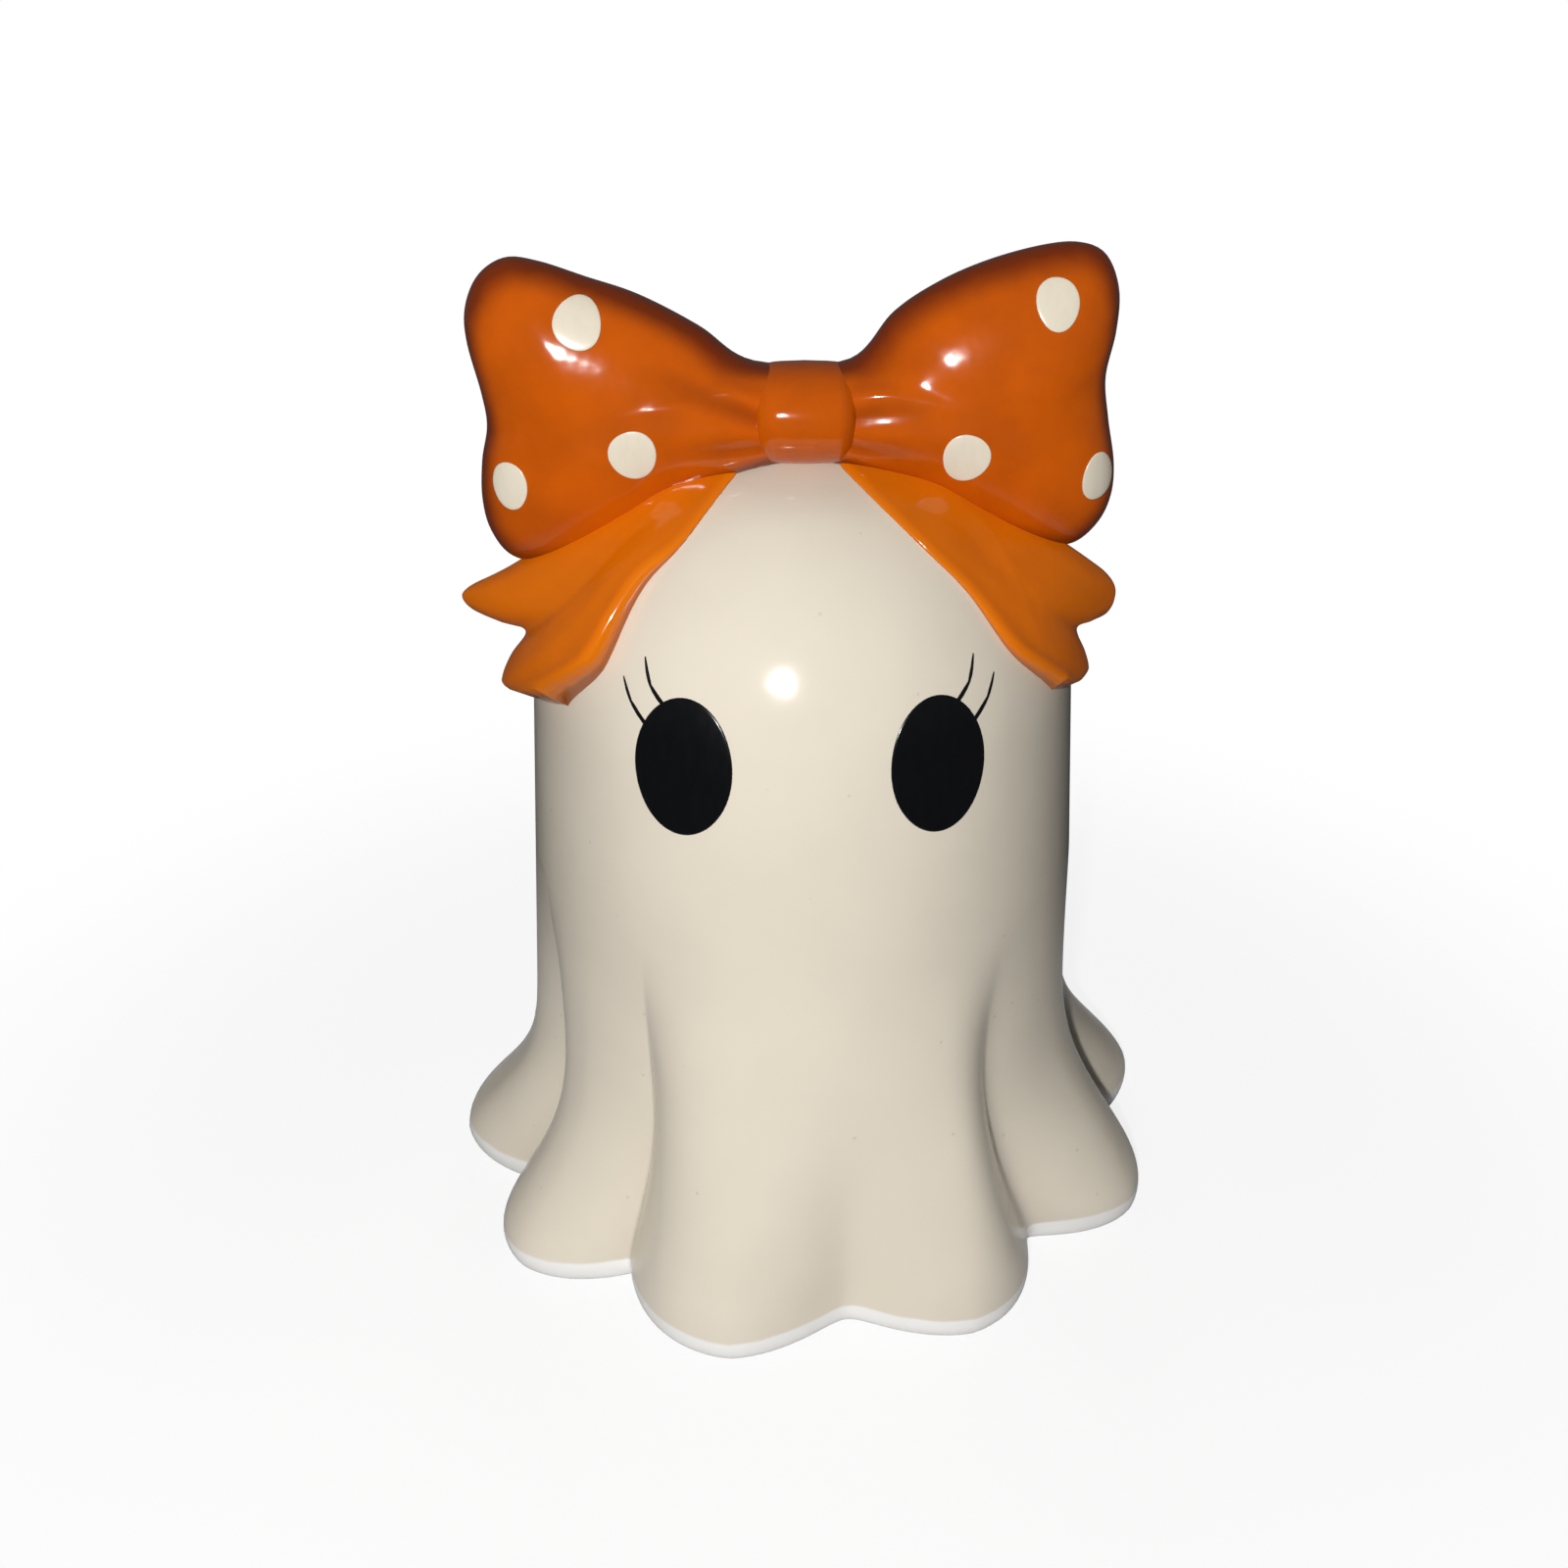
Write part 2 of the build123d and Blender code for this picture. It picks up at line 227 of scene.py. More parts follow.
class GhostPaintSizes(bpy.types.PropertyGroup):
    """Sizes of the fired-on decoration."""

    thickness: length("Thickness", "Thickness of the enamel", 0.3)
    eye_bearing: angle("Eye Bearing", "Angle of each eye from the middle of the face", 24.3)
    face_turn: angle("Face Turn", "How far the painted face is turned to the viewer's right", 0.3)
    eye_rise: length("Eye Rise", "Middle of the eyes above the centre of the round head", 5.8)
    eye_width: length("Eye Width", "Width of an eye", 22.5)
    eye_height: length("Eye Height", "Height of an eye", 29.3)
    eye_lean: angle("Eye Lean", "How far the tops of the eyes lean together", 2)
    lash_root: length("Lash Root", "Width of a lash at the eye", 0.9)
    lash_tip: length("Lash Tip", "Width of a lash at its tip", 0.3)
    dot_radius: length("Dot Radius", "Radius of a polka dot", 4.9)


class GhostFinish(bpy.types.PropertyGroup):
    """Colours of the glazes and enamels."""

    cream: colour("Cream Glaze", "Main colour of the body", "#e9dfcd")
    # Darker cream for clouds of thicker glaze and for painted shade in the creases and by the bow
    cream_cloud_and_shade: colour("Shaded Cream", "Cream glaze where it clouds thicker, and painted shade in the creases and by the bow", "#d9cfbe")
    # Paler foot line: partly thinner glaze, partly a painted reflection of the floor
    rim: colour("Rim", "Paler line round the foot, partly a painted reflection of the floor", "#faf8f5")
    orange: colour("Orange Glaze", "Main colour of the bow", "#cc5a04")
    # Brown for clouds of thicker glaze and for painted shade in the gathers, at the loop rims, under the knot and
    # between the tail tips
    orange_cloud_and_shade: colour("Shaded Orange", "Orange glaze where it clouds thicker, and painted shade in gathers, rims and under the knot", "#7d2f05")
    orange_thin: colour("Thin Orange", "Orange glaze where it breaks over ridges and edges", "#ea7c08")
    black: colour("Black Enamel", "Eyes and lashes", "#08090c")
    dot: colour("Dot Enamel", "Polka dots", "#e9dfcb")


class GhostStage(bpy.types.PropertyGroup):
    """Lamps and floor."""

    key: power("Key", "Power of the lamp beside the camera", 2.5)
    front: power("Front", "Power of the soft lamp low in front", 0.3)
    top: power("Top", "Power of the soft lamp overhead", 0.25)
    back: power("Back", "Power of the soft lamp behind", 5.0)
    room: FloatProperty(name="Room", description="Strength of the even light of the room", default=0.03)


class GhostSettings(bpy.types.PropertyGroup):
    """Everything a user would change about the ghost."""

    body: PointerProperty(type=GhostBodySizes)
    bow: PointerProperty(type=GhostBowSizes)
    paint: PointerProperty(type=GhostPaintSizes)
    finish: PointerProperty(type=GhostFinish)
    stage: PointerProperty(type=GhostStage)


def clamp(share):
    """The share, kept between 0 and 1."""
    return min(max(share, 0.0), 1.0)


def smooth(share):
    """Ease from 0 to 1 with level ends."""
    share = clamp(share)
    return share * share * (3 - 2 * share)


def mix(a, b, share):
    """Value between a and b."""
    return a + (b - a) * share


def curve_through(points, steps, closed):
    """Points along a smooth curve through the given ones."""
    last = len(points) - 1
    found = []
    for i in range(last + closed):
        near = [(i + k) % len(points) if closed else min(max(i + k, 0), last) for k in (-1, 0, 1, 2)]
        p, q, r, s = (Vector(points[k]) for k in near)
        for step in range(steps):
            t = step / steps
            found.append(
                ((2 * q) + (r - p) * t + (2 * p - 5 * q + 4 * r - s) * t**2 + (3 * q - p - 3 * r + s) * t**3) / 2
            )
    return found if closed else [*found, Vector(points[-1])]


def along_line(line, share):
    """Place and step at a share of the way along a line of points."""
    step = clamp(share) * (len(line) - 1)
    i = min(floor(step), len(line) - 2)
    return mix(line[i], line[i + 1], step - i), line[i + 1] - line[i]


def bow_middle(settings):
    """Middle of the bow."""
    return Vector((0, -settings.bow.forward, settings.body.height + settings.bow.rise))


def head_middle(settings):
    """Centre of the round head."""
    return Vector((0, 0, settings.body.height - settings.body.head_radius))


def seat_on_head(bm, settings):
    """Push what would be inside the head out to just above its surface."""
    middle, radius = head_middle(settings), settings.body.head_radius + SEAT_GAP
    for vert in bm.verts:
        offset = vert.co - middle
        if offset.length < radius:
            vert.co = middle + offset.normalized() * radius


def spun(section, axis, steps):
    """Bmesh of a line of points spun all the way round an axis."""
    bm = bmesh.new()
    verts = [bm.verts.new(point) for point in section]
    edges = [bm.edges.new(pair) for pair in zip(verts, verts[1:])]
    bmesh.ops.spin(bm, geom=verts + edges, cent=(0, 0, 0), axis=axis, angle=2 * pi, steps=steps, use_merge=True)
    return bm


def make_piece(name, bm, material, slot, *nodes):
    """Turn a finished bmesh into a piece of the ghost that stands for CAD nodes."""
    bmesh.ops.remove_doubles(bm, verts=bm.verts, dist=1e-6)
    bmesh.ops.recalc_face_normals(bm, faces=bm.faces)
    for face in bm.faces:
        face.smooth = True
    mesh = bpy.data.meshes.new(name)
    bm.to_mesh(mesh)
    bm.free()
    mesh.materials.append(material)
    piece = bpy.data.objects.new(name, mesh)
    bpy.context.scene.collection.objects.link(piece)
    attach(piece, BODY)
    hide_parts(*nodes)
    return piece


def add(tree, kind, inputs, **settings):
    """Add a node with its settings, and set or link its inputs."""
    node = tree.nodes.new(kind)
    for name, value in settings.items():
        setattr(node, name, value)
    for socket, value in inputs.items():
        if isinstance(value, bpy.types.NodeSocket):
            tree.links.new(value, node.inputs[socket])
        else:
            node.inputs[socket].default_value = value
    return node


def new_material(name):
    """Node material of that name, without nodes when it is new."""
    material = bpy.data.materials.get(name)
    if material is None:
        material = bpy.data.materials.new(name)
        material.use_nodes = True
        material.node_tree.nodes.clear()
    return material


def rgba(value):
    """Colour with full alpha."""
    return (*value, 1.0)


def cream_glaze(finish):
    """Glazed white earthenware: a clear cream glaze over a cast body, with painted shade in its creases and by the
    bow.

    To the eye it is a glossy, slightly uneven skin with faint mottling, a few pinholes and a paler foot line,
    partly thinner glaze and partly a painted reflection of the floor.
    """
    material = new_material("Glazed Earthenware Cream")
    tree = material.node_tree
    if tree.nodes:
        return material
    place = add(tree, "ShaderNodeTexCoord", {}).outputs["Object"]
    height = add(tree, "ShaderNodeSeparateXYZ", {"Vector": place}).outputs["Z"]
    # Painted shade at the bottom of the creases and on the head round the middle of the bow
    pooled = add(tree, "ShaderNodeAttribute", {}, attribute_name="pooled").outputs["Fac"]
    # Clouds about 35 mm across in the thickness of the glaze
    clouds = add(tree, "ShaderNodeTexNoise", {"Vector": place, "Scale": 1 / (35 * MM), "Detail": 3.0})
    cloud_share = add(
        tree, "ShaderNodeMapRange", {"Value": clouds.outputs["Fac"], "From Min": 0.35, "From Max": 0.7, "To Max": 0.35}
    ).outputs["Result"]
    # Clouds of thicker glaze, with the painted shade added on top
    thick = add(tree, "ShaderNodeMath", {0: cloud_share, 1: pooled}, operation="ADD", use_clamp=True).outputs[0]
    glaze = add(
        tree,
        "ShaderNodeMix",
        {"Factor": thick, "A": rgba(finish.cream), "B": rgba(finish.cream_cloud_and_shade)},
        data_type="RGBA",
    ).outputs["Result"]
    # Paler foot line about 7 mm up, which wanders by less than a millimetre: partly thinner glaze, partly a painted
    # reflection of the floor
    wander = add(tree, "ShaderNodeTexNoise", {"Vector": place, "Scale": 1 / (14 * MM), "Detail": 2.0}).outputs["Fac"]
    line = add(tree, "ShaderNodeMath", {0: wander, 1: 1.6 * MM, 2: 6.0 * MM}, operation="MULTIPLY_ADD").outputs[0]
    below = add(tree, "ShaderNodeMath", {0: line, 1: height}, operation="SUBTRACT").outputs[0]
    foot = add(
        tree,
        "ShaderNodeMapRange",
        {"Value": below, "From Min": -0.5 * MM, "From Max": 0.5 * MM},
        interpolation_type="SMOOTHSTEP",
    ).outputs["Result"]
    base = add(
        tree, "ShaderNodeMix", {"Factor": foot, "A": glaze, "B": rgba(finish.rim)}, data_type="RGBA"
    ).outputs["Result"]
    # Pinholes about 0.7 mm wide and 9 mm apart
    holes = add(tree, "ShaderNodeTexVoronoi", {"Vector": place, "Scale": 1 / (9 * MM), "Randomness": 1.0})
    pinhole = add(
        tree,
        "ShaderNodeMapRange",
        {"Value": holes.outputs["Distance"], "From Min": 0.02, "From Max": 0.06, "To Min": 1.0, "To Max": 0.0},
    ).outputs["Result"]
    dulled = add(tree, "ShaderNodeMath", {0: pinhole, 1: 0.25}, operation="MULTIPLY").outputs[0]
    speckled = add(
        tree, "ShaderNodeMix", {"Factor": dulled, "A": base, "B": rgba(linear(PINHOLE_BROWN))}, data_type="RGBA"
    ).outputs["Result"]
    rough = add(
        tree, "ShaderNodeMapRange", {"Value": clouds.outputs["Fac"], "To Min": 0.1, "To Max": 0.14}
    ).outputs["Result"]
    # Slow waves about 11 mm long in the surface of the glaze, which bend its highlights
    waves = add(tree, "ShaderNodeTexNoise", {"Vector": place, "Scale": 1 / (11 * MM), "Detail": 2.0}).outputs["Fac"]
    wavy = add(tree, "ShaderNodeBump", {"Height": waves, "Strength": 0.35, "Distance": 0.25 * MM})
    dented = add(
        tree,
        "ShaderNodeBump",
        {"Height": pinhole, "Strength": 0.4, "Distance": 0.15 * MM, "Normal": wavy.outputs["Normal"]},
        invert=True,
    )
    shader = add(
        tree,
        "ShaderNodeBsdfPrincipled",
        {"Base Color": speckled, "Roughness": rough, "IOR": GLAZE_IOR, "Normal": dented.outputs["Normal"]},
    )
    add(tree, "ShaderNodeOutputMaterial", {"Surface": shader.outputs["BSDF"]})
    return material


def orange_glaze(finish):
    """Glazed earthenware in orange: a coloured transparent glaze, glossier than the cream.

    To the eye it is deep and even on the broad faces, browner with painted shade in the gathers, towards the rims of
    the loops, under the knot and between the tips of the tails, and more yellow where it breaks over ridges.
    """
    material = new_material("Glazed Earthenware Orange")
    tree = material.node_tree
    if tree.nodes:
        return material
    place = add(tree, "ShaderNodeTexCoord", {}).outputs["Object"]
    # Painted shade: browner in the gathers, towards the rims of the loops, under the knot and between the tips of the
    # tails
    pooled = add(tree, "ShaderNodeAttribute", {}, attribute_name="pooled").outputs["Fac"]
    thin = add(tree, "ShaderNodeAttribute", {}, attribute_name="thin").outputs["Fac"]
    # Brush-laid clouds about 16 mm across
    clouds = add(
        tree, "ShaderNodeTexNoise", {"Vector": place, "Scale": 1 / (16 * MM), "Detail": 4.0, "Roughness": 0.55}
    )
    cloud_share = add(
        tree, "ShaderNodeMapRange", {"Value": clouds.outputs["Fac"], "From Min": 0.38, "From Max": 0.72, "To Max": 0.3}
    ).outputs["Result"]
    # Brush-laid clouds, with the painted shade added on top
    thick = add(tree, "ShaderNodeMath", {0: cloud_share, 1: pooled}, operation="ADD", use_clamp=True).outputs[0]
    deep = add(
        tree,
        "ShaderNodeMix",
        {"Factor": thick, "A": rgba(finish.orange), "B": rgba(finish.orange_cloud_and_shade)},
        data_type="RGBA",
    ).outputs["Result"]
    base = add(
        tree, "ShaderNodeMix", {"Factor": thin, "A": deep, "B": rgba(finish.orange_thin)}, data_type="RGBA"
    ).outputs["Result"]
    rough = add(
        tree, "ShaderNodeMapRange", {"Value": clouds.outputs["Fac"], "To Min": 0.07, "To Max": 0.12}
    ).outputs["Result"]
    # Slow waves about 8 mm long, which break up the highlights
    waves = add(tree, "ShaderNodeTexNoise", {"Vector": place, "Scale": 1 / (8 * MM), "Detail": 2.0}).outputs["Fac"]
    wavy = add(tree, "ShaderNodeBump", {"Height": waves, "Strength": 0.5, "Distance": 0.3 * MM})
    shader = add(
        tree,
        "ShaderNodeBsdfPrincipled",
        {"Base Color": base, "Roughness": rough, "IOR": GLAZE_IOR, "Normal": wavy.outputs["Normal"]},
    )
    add(tree, "ShaderNodeOutputMaterial", {"Surface": shader.outputs["BSDF"]})
    return material


def fired_enamel(name, tint, wear, roughness):
    """Fired-on enamel, brushed by hand: a thin opaque coat with faint brush marks and a soft gloss."""
    material = new_material(name)
    tree = material.node_tree
    if tree.nodes:
        return material
    place = add(tree, "ShaderNodeTexCoord", {}).outputs["Object"]
    # Brush marks about 1.5 mm apart, drawn out upright
    stretched = add(tree, "ShaderNodeMapping", {"Vector": place, "Scale": (1.0, 1.0, 0.25)}).outputs["Vector"]
    marks = add(
        tree, "ShaderNodeTexNoise", {"Vector": stretched, "Scale": 1 / (1.5 * MM), "Detail": 2.0}
    ).outputs["Fac"]
    share = add(
        tree, "ShaderNodeMapRange", {"Value": marks, "From Min": 0.4, "From Max": 0.8, "To Max": 0.3}
    ).outputs["Result"]
    base = add(
        tree, "ShaderNodeMix", {"Factor": share, "A": rgba(tint), "B": rgba(wear)}, data_type="RGBA"
    ).outputs["Result"]
    rough = add(
        tree, "ShaderNodeMapRange", {"Value": marks, "To Min": roughness - 0.05, "To Max": roughness + 0.05}
    ).outputs["Result"]
    relief = add(tree, "ShaderNodeBump", {"Height": marks, "Strength": 0.15, "Distance": 0.05 * MM})
    shader = add(
        tree,
        "ShaderNodeBsdfPrincipled",
        {"Base Color": base, "Roughness": rough, "IOR": GLAZE_IOR, "Normal": relief.outputs["Normal"]},
    )
    add(tree, "ShaderNodeOutputMaterial", {"Surface": shader.outputs["BSDF"]})
    return material


def side_radius(body, height):
    """Radius of the straight sides at a height, before any fold."""
    shoulder = head_radius_at(body, body.taper)
    return shoulder[0] + (shoulder[1] - height) * tan(body.taper)


def head_radius_at(body, slope):
    """Radius and height of the round head at an angle up from its middle."""
    return body.head_radius * cos(slope), body.height - body.head_radius * (1 - sin(slope))


def crest_radius(body, height, crest):
    """Radius of a fold crest at a height."""
    side = side_radius(body, height)
    top = body.face_flare_top if crest in FACE_CRESTS else body.flare_top
    share = clamp((top - height) / (top - body.lip_height))
    tucked = clamp((body.lip_height - height) / body.lip_height)
    tuck = body.lip_tuck * (1 - sqrt(1 - tucked * tucked))
    reach = body.hem_radius + CREST_REACH[crest] * MM
    return side + (reach - side) * smooth(share ** CREST_LATENESS[crest]) - tuck


def crease_dip(body, crease, before, across, height):
    """Share of a crease's depth at a share of the way across from the crest on one side of it."""
    run = FAR_RUN
    if crease in (FACE_CREASE, BACK_CREASE):
        run = CREST_ROUND
    elif before == (crease < BACK_CREASE):
        run = mix(*NEAR_EDGE, smooth((height - body.lip_height) / NEAR_EDGE_HEIGHT))
        if crease == OPEN_CREASE:
            run = OPEN_EDGE
    if crease in (FACE_CREASE, BACK_CREASE, OPEN_CREASE):
        climb = hypot(1 - across, CREASE_ROUND) - CREASE_ROUND
        across = max(1 - climb / (hypot(1, CREASE_ROUND) - CREASE_ROUND), 0)
    return across**run


def crease_place(body, crease, height):
    """Bearing of the crest before a crease, degrees to the crest after it, and share of that way to it."""
    start, end = (FOLD_PITCH * k + CREST_TURN[k % FOLD_COUNT] for k in (crease, crease + 1))
    risen = clamp((height - body.lip_height) / (body.fold_top - body.lip_height))
    stray = CREASE_TURN[crease] + CREASE_SWAY[crease] * sin(pi * risen)
    return FOLD_BEARING + start, end - start, 0.5 + stray / (end - start)


def fold_at(body, crease, before, across, share, height):
    """Radius of the folded outside beside a crease, and how deep in the crease that is, from 0 to 1."""
    crests = [crest_radius(body, height, k % FOLD_COUNT) for k in (crease, crease + 1)]
    dip = crease_dip(body, crease, before, across, height)
    soft = crease == FACE_CREASE
    top = body.face_crease_top if soft else body.fold_top
    depth = body.face_crease_depth if soft else body.crease_depth
    grown = smooth((top - height) / (top - body.lip_height)) ** (FACE_CREASE_LATENESS if soft else 1)
    return mix(*crests, smooth(share)) - depth * grown * dip, grown * dip


def wall_at(body, height):
    """Wall of the folded hem at a height, measured towards the axis."""
    grown = smooth((body.fold_top - height) / (body.fold_top - body.lip_height))
    return mix(body.wall / cos(body.taper), body.hem_wall, grown)


class GhostStep:
    """What the steps share."""

    bl_options = {"REGISTER", "UNDO"}


class GHOST_OT_cast_body(GhostStep, bpy.types.Operator):
    """Cast the hollow body with its folded hem"""

    bl_idname = "ghost.cast_body"
    bl_label = "Cast Body"

    ROUND_STEPS = 400
    DOME_STEPS = 40
    SIDE_STEPS = 10
    HEM_STEPS = 60
    GATHERED = 0.55  # how much closer the mesh stands at the creases
    LIP_STEPS = 9
    SEAM_SHADE_REACH = 16 * MM  # how far from the bow the painted shade on the head reaches, at its darkest and again at its edge
    CREASE_SHADE = 0.8  # how much painted shade shows at the bottom of a crease

    def half_section(self, body):
        """Outline of the wall from the crown down the outside, across the rim and up the inside."""
        outside = [head_radius_at(body, mix(pi / 2, body.taper, i / self.DOME_STEPS)) for i in range(self.DOME_STEPS)]
        shoulder = head_radius_at(body, body.taper)[1]
        heights = [mix(shoulder, body.fold_top, i / self.SIDE_STEPS) for i in range(self.SIDE_STEPS)]
        heights += [mix(body.fold_top, body.lip_height, i / self.HEM_STEPS) for i in range(self.HEM_STEPS)]
        heights += [body.lip_height * (1 - sin(i * pi / 2 / self.LIP_STEPS)) for i in range(self.LIP_STEPS + 1)]
        outside += [(side_radius(body, height), height) for height in heights]
        wall = body.wall / cos(body.taper)
        inside = [(side_radius(body, height) - wall, height) for height in reversed(heights[::2] + [0.0])]
        shrink = 1 - body.wall / body.head_radius
        middle = body.height - body.head_radius
        dome = [
            (radius * shrink, middle + (height - middle) * shrink)
            for radius, height in outside[: self.DOME_STEPS : 2]
        ]
        return outside + inside + dome[::-1]

    def drawn_to_crease(self, turns):
        """Crease nearest to a place in even turns of a fold, side of it, and share of the way from the crest."""
        crease = int(turns % FOLD_COUNT)
        share = turns % 1
        before = share < 0.5
        near = 2 * share if before else 2 - 2 * share
        return crease, before, near + self.GATHERED * sin(pi * near) / pi

    def execute(self, context):
        settings = context.scene.ghost
        body = settings.body
        section = [(0, -radius, height) for radius, height in self.half_section(body)]
        bm = spun(section, (0, 0, 1), self.ROUND_STEPS)
        pooled = bm.verts.layers.float.new("pooled")
        wall = body.wall / cos(body.taper)
        seam = bow_middle(settings)
        for vert in bm.verts:
            radius, height = hypot(vert.co.x, vert.co.y), vert.co.z
            # Painted shade on the head round the middle of the bow
            vert[pooled] = smooth(2 - (vert.co - seam).length / self.SEAM_SHADE_REACH)
            if height >= body.fold_top or radius < 1e-6:
                continue
            even = degrees(atan2(vert.co.x, -vert.co.y))
            crease, before, across = self.drawn_to_crease((even - FOLD_BEARING) / FOLD_PITCH)
            start, gap, valley = crease_place(body, crease, height)
            share = valley * across if before else 1 - (1 - valley) * across
            bearing = radians(start + gap * share)
            folded, depth = fold_at(body, crease, before, across, share, height)
            if radius < side_radius(body, height) - wall / 2:
                folded -= wall_at(body, height)
            # Painted shade at the bottom of each crease, but not the soft one under the face
            if crease != FACE_CREASE:
                vert[pooled] = self.CREASE_SHADE * depth**3
            vert.co.xy = folded * sin(bearing), -folded * cos(bearing)
        make_piece("cast_body", bm, cream_glaze(settings.finish), "cream_glaze", "ghost_shell")
        return {"FINISHED"}


def loop_reach(side):
    """Angle and reach of a loop's outline all round its middle, sorted by angle."""
    corners = [LOOP_NECK[0], *LOOP_OUTLINES[side], LOOP_NECK[1]]
    middle = Vector(LOOP_MIDDLE)
    reach = []
    for point in curve_through(corners, CURVE_STEPS, True):
        offset = point - middle
        reach.append((atan2(offset.y, offset.x), offset.length))
    return sorted(reach)


def reach_at(reach, turn):
    """Reach of an outline at an angle."""
    after = bisect(reach, (turn,)) % len(reach)
    (low, low_reach), (high, high_reach) = reach[after - 1], reach[after]
    return mix(low_reach, high_reach, ((turn - low) % (2 * pi)) / max((high - low) % (2 * pi), 1e-9))


def gather_at(side, x, z):
    """Depth in millimetres of the gathers at a place on a loop."""
    deepest = 0.0
    for start, end, depth, half_width in GATHERS[side]:
        along = Vector(end) - Vector(start)
        offset = Vector((x, z)) - Vector(start)
        share = offset.dot(along) / along.length_squared
        aside = abs(offset.x * along.y - offset.y * along.x) / along.length
        faded = smooth(1 - share) * smooth(1 + share * 4)
        deepest = max(deepest, depth * exp(-((aside / mix(half_width * 0.7, half_width * 1.5, share)) ** 2)) * faded)
    return deepest


class GHOST_OT_puff_loops(GhostStep, bpy.types.Operator):
    """Puff out the two bow loops"""

    bl_idname = "ghost.puff_loops"
    bl_label = "Puff Loops"

    ROUND_STEPS = 192
    DEPTH_STEPS = 96
    FULLNESS = 0.9  # under 1 is fuller than an ellipse
    GATHER_SHADE = 0.55  # painted shade for each millimetre of a gather's depth
    SHADED_LIMB = 0.78  # share of the way out where painted shade starts, darkening towards the rim

    def execute(self, context):
        settings = context.scene.ghost
        middle = bow_middle(settings)
        for side, turn in SIDES.items():
            reach = loop_reach(side)
            bm = bmesh.new()
            bmesh.ops.create_uvsphere(bm, u_segments=self.ROUND_STEPS, v_segments=self.DEPTH_STEPS, radius=1)
            bm.verts.layers.float.new("thin")
            pooled = bm.verts.layers.float.new("pooled")
            for vert in bm.verts:
                lean = asin(min(max(vert.co.z, -1.0), 1.0))
                round_turn = atan2(vert.co.y, vert.co.x)
                share = cos(lean) ** self.FULLNESS
                depth = abs(sin(lean)) ** self.FULLNESS * (1 if lean > 0 else -1)
                spread = reach_at(reach, round_turn) * share
                x = LOOP_MIDDLE[0] + spread * cos(round_turn)
                z = LOOP_MIDDLE[1] + spread * sin(round_turn)
                gather = gather_at(side, x, z)
                # Painted shade in the gathers and towards the rim, where the loop turns away from the light
                vert[pooled] = min(self.GATHER_SHADE * gather, 1.0) + smooth((share - self.SHADED_LIMB) / (1 - self.SHADED_LIMB))
                forward = depth * max(settings.bow.loop_depth - gather * MM, 0)
                vert.co = middle + Vector((turn * x * MM, -forward, z * MM))
            seat_on_head(bm, settings)
            make_piece(f"puffed_loop_{side}", bm, orange_glaze(settings.finish), "orange_glaze", f"bow_loop_{side}")
        return {"FINISHED"}


class GHOST_OT_wrap_knot(GhostStep, bpy.types.Operator):
    """Wrap the band round the middle of the bow"""

    bl_idname = "ghost.wrap_knot"
    bl_label = "Wrap Knot"

    ROUND_STEPS = 96
    EDGE_STEPS = 10
    EDGE = 0.4  # rounding of the side edges, as a share of the band's half height
    BULGE = 0.07  # how much fuller the band is at its middle
    THIN_EDGE = 0.4  # how much of the thin colour shows on the side edges
    THIN_FROM = 0.75  # share of the half width where it starts
    THIN_RISE = 0.7  # share of the height where it starts

    def execute(self, context):
        settings = context.scene.ghost
        bow = settings.bow
        half = bow.knot_width / 2
        edge = self.EDGE * bow.knot_height / 2
        # Half section of the band: distance along it, and share of its full height
        section = [(-half, 0.0), (-half, 0.5 * (1 - self.EDGE))]
        for i in range(self.EDGE_STEPS + 1):
            turn = i * pi / 2 / self.EDGE_STEPS
            section.append((-half + edge * (1 - cos(turn)), 1 - self.EDGE * (1 - sin(turn))))
        section += [(-half + (half - edge) * share + edge * (1 - share), 1.0) for share in (0.25, 0.5, 0.75)]
        section += [(0.0, 1.0)] + [(-x, share) for x, share in reversed(section)]
        bm = spun([(x, 0, share) for x, share in section], (1, 0, 0), self.ROUND_STEPS)
        thin = bm.verts.layers.float.new("thin")
        bm.verts.layers.float.new("pooled")
        for vert in bm.verts:
            share = hypot(vert.co.y, vert.co.z)
            fullness = 1 - self.BULGE * (vert.co.x / half) ** 2
            beside = smooth((abs(vert.co.x) / half - self.THIN_FROM) / (1 - self.THIN_FROM))
            vert[thin] = self.THIN_EDGE * beside * smooth((share - self.THIN_RISE) / (1 - self.THIN_RISE))
            vert.co.y *= fullness * bow.knot_depth / 2
            vert.co.z *= fullness * bow.knot_height / 2
        bmesh.ops.translate(bm, verts=bm.verts, vec=bow_middle(settings))
        seat_on_head(bm, settings)
        make_piece("wrapped_knot", bm, orange_glaze(settings.finish), "orange_glaze", "bow_knot")
        return {"FINISHED"}


